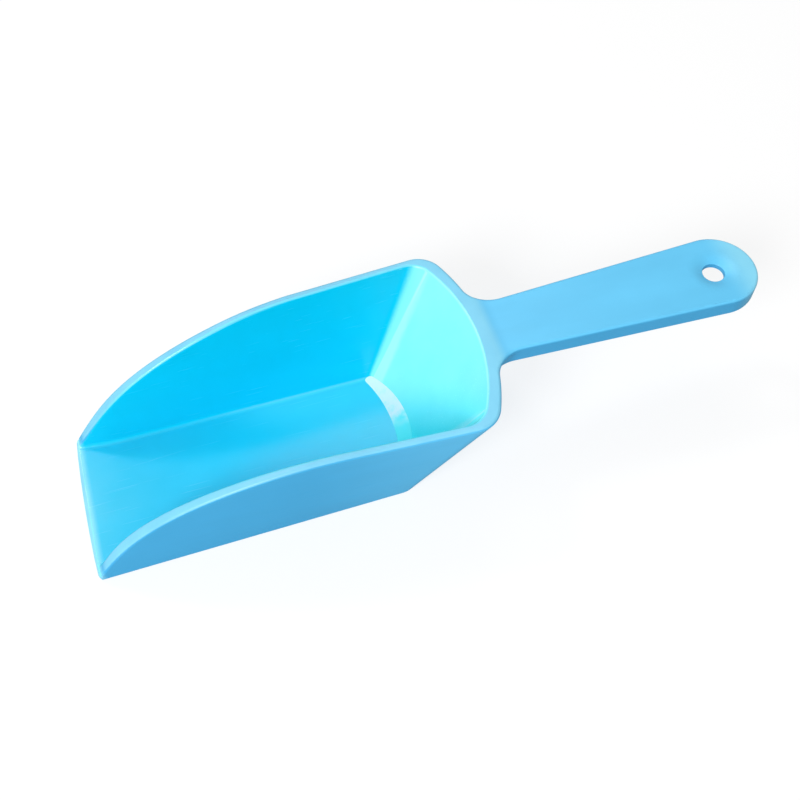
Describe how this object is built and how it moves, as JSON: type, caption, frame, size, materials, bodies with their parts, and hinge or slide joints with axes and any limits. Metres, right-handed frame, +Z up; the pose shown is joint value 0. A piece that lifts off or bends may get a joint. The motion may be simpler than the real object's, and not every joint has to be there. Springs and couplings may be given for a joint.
{
  "type": "feed scoop",
  "caption": "One-handed plastic feed scoop: flat-bottomed open bowl with flared sides, a sloping back wall, and a flat channel handle with a hanging hole.",
  "frame": {"origin": "middle of the overall length and width, on the flat surface that the bowl stands on", "axes": "+X from the pouring lip to the tip of the handle, +Y across the scoop, +Z up out of the open bowl"},
  "size_m": [0.21, 0.063, 0.041],
  "materials": {
    "scoop_plastic": "gloss"
  },
  "bodies": {
    "root": {"floor_pan": "scoop_plastic", "left_wall": "scoop_plastic", "right_wall": "scoop_plastic", "back_wall": "scoop_plastic", "handle": "scoop_plastic", "hang_hole_collar": "scoop_plastic"}
  },
  "joints": []
}
